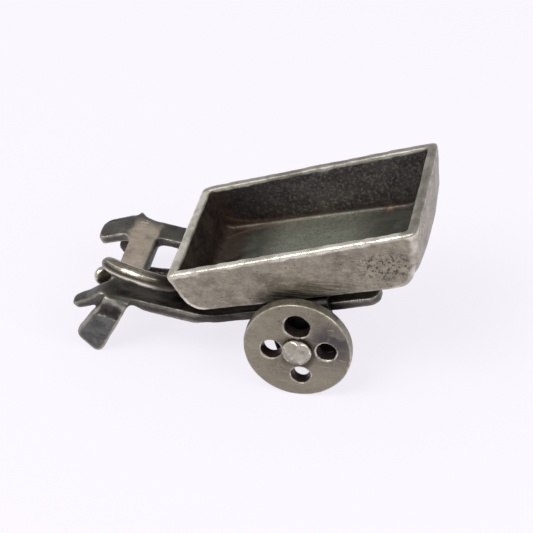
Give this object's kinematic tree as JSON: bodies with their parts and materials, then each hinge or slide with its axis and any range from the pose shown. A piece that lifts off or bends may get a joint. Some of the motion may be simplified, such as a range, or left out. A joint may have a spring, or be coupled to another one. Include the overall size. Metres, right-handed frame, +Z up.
{
  "type": "hand cart charm",
  "caption": "Miniature silver hand cart: open slanted tray on a bent sheet chassis with handles and legs, pierced disc wheels on a peened axle, jump ring over the crossbar.",
  "frame": {"origin": "on the ground that the wheels and the legs stand on, in the middle of the length and of the width", "axes": "+X from the handles to the nose, +Y from the near side in the picture to the far side, +Z up from the ground"},
  "size_m": [0.0258, 0.0156, 0.0152],
  "materials": {
    "sheet_silver": "tarnished satin",
    "axle_silver": "worn polished",
    "wheel_silver": "worn satin",
    "tray_silver": "worn satin",
    "ring_silver": "worn polished"
  },
  "bodies": {
    "cart": {"chassis": "sheet_silver", "axle_bracket": "sheet_silver", "axle": "axle_silver", "tray_floor": "tray_silver", "tray_side_near": "tray_silver", "tray_side_far": "tray_silver"},
    "wheel_near": {"wheel_near": "wheel_silver"},
    "wheel_far": {"wheel_far": "wheel_silver"},
    "jump_ring": {"jump_ring": "ring_silver"}
  },
  "joints": [
    {"name": "wheel_near_spin", "type": "hinge", "parent": "cart", "child": "wheel_near", "pos_m": [0.00445, -0.00635, 0.004], "axis": [0, 1, 0], "continuous": true},
    {"name": "wheel_far_spin", "type": "hinge", "parent": "cart", "child": "wheel_far", "pos_m": [0.00445, 0.00635, 0.004], "axis": [0, 1, 0], "continuous": true},
    {"name": "jump_ring_swing", "type": "hinge", "parent": "cart", "child": "jump_ring", "pos_m": [-0.00861, -0.00205, 0.00477], "axis": [-0.9922, 0.0389, 0.118], "range_deg": [0, 70]}
  ]
}
